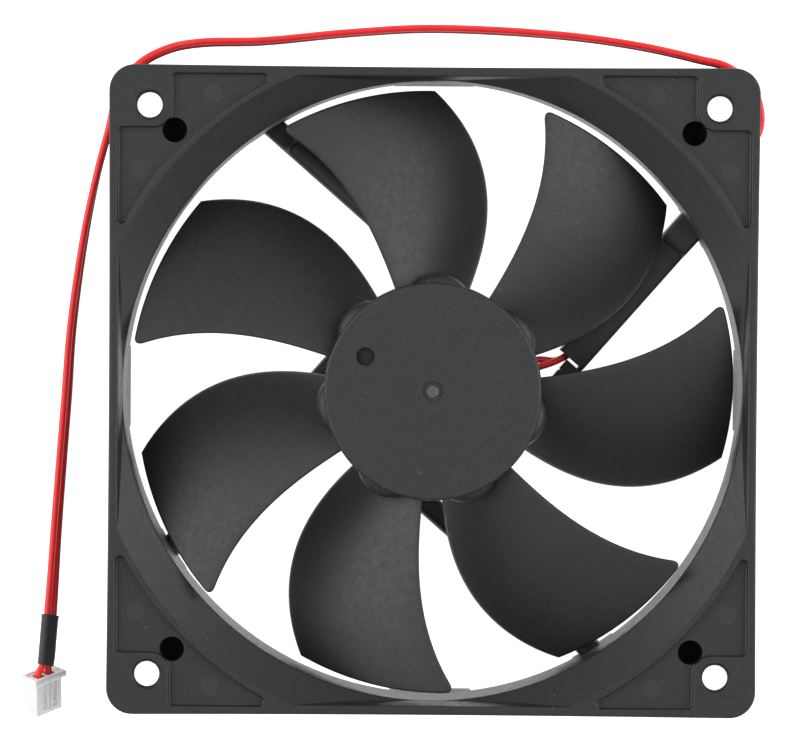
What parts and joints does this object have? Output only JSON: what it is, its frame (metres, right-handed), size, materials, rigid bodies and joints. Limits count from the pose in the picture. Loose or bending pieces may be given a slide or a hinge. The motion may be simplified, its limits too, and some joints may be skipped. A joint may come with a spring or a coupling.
{
  "type": "case fan",
  "caption": "Square axial case fan: bladed impeller on a ball-bearing hub motor in a flanged duct with diagonal struts, and a short two-wire lead with a white plug.",
  "frame": {"origin": "centre of the fan's back (exhaust) face, on its axis, without the lead", "axes": "+Z along the fan's axis, from the exhaust side to the intake side; X and Y along the frame's sides"},
  "size_m": [0.1397, 0.1313, 0.025],
  "materials": {
    "housing_plastic": "satin moulded",
    "impeller_plastic": "fine-grained satin moulded",
    "brass": "turned",
    "bearing_steel": "ground",
    "ball_steel": "polished",
    "yoke_steel": "drawn",
    "magnet_ferrite": "matte bonded ferrite",
    "core_steel": "stacked laminations",
    "insulator_nylon": "moulded",
    "winding_copper": "enamelled wire",
    "tinned_metal": "tinned",
    "board_laminate": "solder mask",
    "chip_black": "moulded epoxy",
    "can_aluminium": "drawn can",
    "label_foil": "blank silver film",
    "wire_red": "glossy insulation",
    "wire_dark": "glossy dark red insulation with a black edge",
    "sleeve_black": "heat-shrunk",
    "connector_nylon": "milky moulded"
  },
  "bodies": {
    "housing": {"frame": "housing_plastic", "bearing_tube": "brass", "rear_bearing_outer_ring": "bearing_steel", "rear_bearing_lower_shield": "bearing_steel", "rear_bearing_upper_shield": "bearing_steel", "front_bearing_outer_ring": "bearing_steel", "front_bearing_lower_shield": "bearing_steel", "front_bearing_upper_shield": "bearing_steel", "stator_core": "core_steel", "upper_insulator": "insulator_nylon", "lower_insulator": "insulator_nylon", "coil_winding_1": "winding_copper", "coil_winding_2": "winding_copper", "coil_winding_3": "winding_copper", "coil_winding_4": "winding_copper", "winding_pin_1": "tinned_metal", "winding_pin_2": "tinned_metal", "winding_pin_3": "tinned_metal", "circuit_board": "board_laminate", "hall_sensor": "chip_black", "capacitor": "can_aluminium", "diode": "chip_black", "rear_label": "label_foil", "red_wire": "wire_red", "black_wire": "wire_dark", "heat_shrink_sleeve": "sleeve_black", "connector_housing": "connector_nylon", "red_terminal": "tinned_metal", "black_terminal": "tinned_metal"},
    "rotor": {"impeller": "impeller_plastic", "shaft": "bearing_steel", "shaft_bushing": "brass", "retaining_clip": "bearing_steel", "preload_spring": "bearing_steel", "rotor_yoke": "yoke_steel", "rotor_magnet": "magnet_ferrite", "front_bearing_inner_ring": "bearing_steel", "rear_bearing_inner_ring": "bearing_steel"},
    "front_ball_train": {"front_bearing_ball_set": "ball_steel"},
    "rear_ball_train": {"rear_bearing_ball_set": "ball_steel"}
  },
  "joints": [
    {"name": "rotor_spin", "type": "hinge", "parent": "housing", "child": "rotor", "pos_m": [0, 0, 0.012], "axis": [0, 0, 1], "continuous": true},
    {"name": "front_ball_spin", "type": "hinge", "parent": "housing", "child": "front_ball_train", "pos_m": [0, 0, 0.0162], "axis": [0, 0, 1], "continuous": true},
    {"name": "rear_ball_spin", "type": "hinge", "parent": "housing", "child": "rear_ball_train", "pos_m": [0, 0, 0.006], "axis": [0, 0, 1], "continuous": true}
  ],
  "couplings": [
    {"joint": "front_ball_spin", "follows": "rotor_spin", "ratio": 0.3636},
    {"joint": "rear_ball_spin", "follows": "rotor_spin", "ratio": 0.3636}
  ]
}
